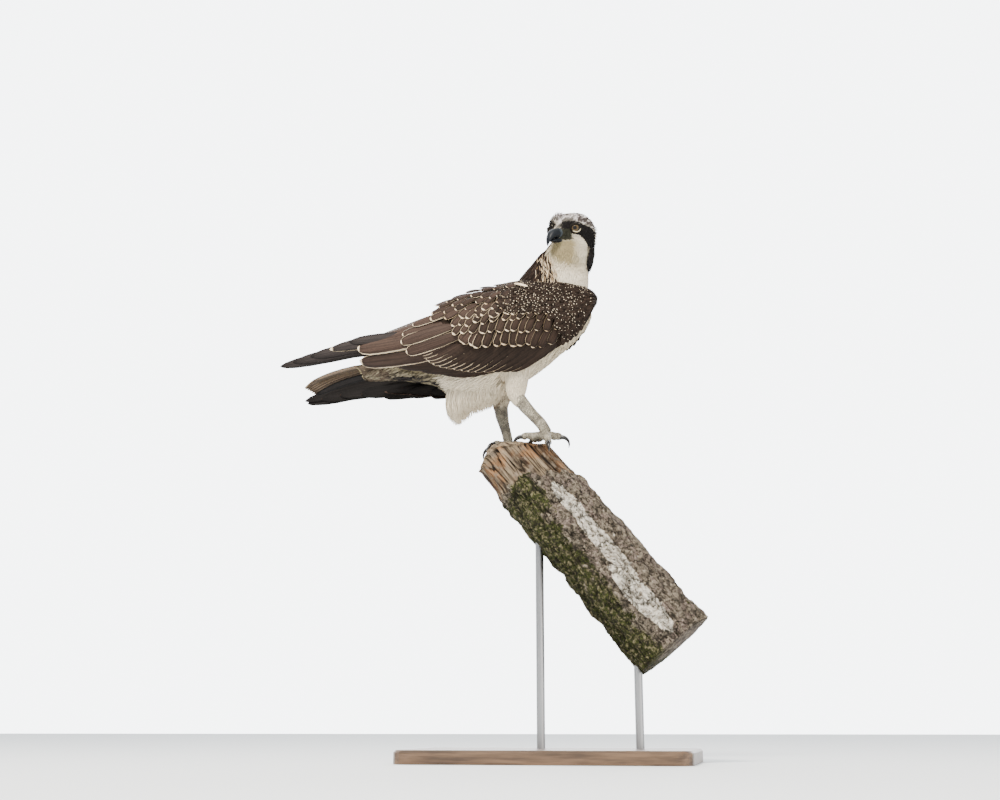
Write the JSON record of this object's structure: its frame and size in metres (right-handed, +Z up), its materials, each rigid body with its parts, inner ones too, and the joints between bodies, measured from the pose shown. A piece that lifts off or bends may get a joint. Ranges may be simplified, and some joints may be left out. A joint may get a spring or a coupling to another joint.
{
  "type": "standing osprey model on a cut branch",
  "caption": "Life-size still model of a young osprey with folded wings and its head turned back, on a cut length of slanting branch held over a flat base by two rods.",
  "frame": {"origin": "centre of the stand base's underside", "axes": "+X the way the bird's body faces, level; +Y the bird's left side; +Z up"},
  "size_m": [0.6312, 0.24, 0.8107],
  "materials": {
    "body_feathers": "soft feathers",
    "head_feathers": "soft feathers",
    "wing_feathers": "sleek feathers",
    "tail_feathers": "sleek feathers",
    "bill": "satin horn",
    "eye": "polished",
    "leg_skin": "rough scaled skin",
    "claw": "satin horn",
    "weathered_wood": "dry split dead wood",
    "stand_wood": "satin dark board",
    "stand_steel": "brushed"
  },
  "bodies": {
    "root": {"bill_lower": "bill", "bill_upper": "bill", "claw_left_1": "claw", "claw_left_2": "claw", "claw_left_3": "claw", "claw_left_4": "claw", "claw_right_1": "claw", "claw_right_2": "claw", "claw_right_3": "claw", "claw_right_4": "claw", "eye_left": "eye", "eye_right": "eye", "foot_left": "leg_skin", "foot_right": "leg_skin", "head": "head_feathers", "neck": "body_feathers", "perch": "weathered_wood", "stand_base": "stand_wood", "stand_rod_1": "stand_steel", "stand_rod_2": "stand_steel", "tail": "tail_feathers", "thigh_left": "body_feathers", "thigh_right": "body_feathers", "torso": "body_feathers", "wing_left": "wing_feathers", "wing_right": "wing_feathers"}
  },
  "joints": []
}
